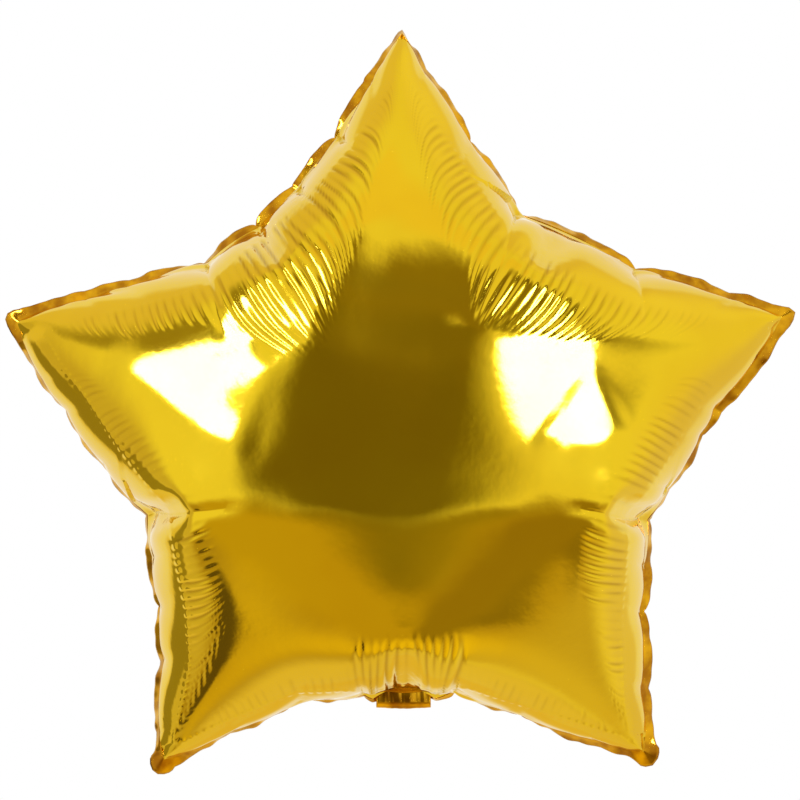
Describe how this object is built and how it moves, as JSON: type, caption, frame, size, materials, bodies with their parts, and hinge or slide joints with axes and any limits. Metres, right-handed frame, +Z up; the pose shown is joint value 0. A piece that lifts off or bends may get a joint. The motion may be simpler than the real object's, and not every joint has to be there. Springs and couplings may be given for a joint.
{
  "type": "star foil balloon",
  "caption": "Gas-filled star-shaped foil balloon, a sealed bag of gold metallised film with gathered seams and a flat tail folded under it.",
  "frame": {"origin": "middle of the flat outer face of the tail, where a ribbon or a tape dot holds the balloon", "axes": "+Z up towards the top tip, the front faces -Y, +X to the right seen from the front"},
  "size_m": [0.4499, 0.2088, 0.4187],
  "materials": {
    "gold_film": "mirror-bright gold metallised plastic film"
  },
  "bodies": {
    "root": {"star_balloon": "gold_film"}
  },
  "joints": []
}
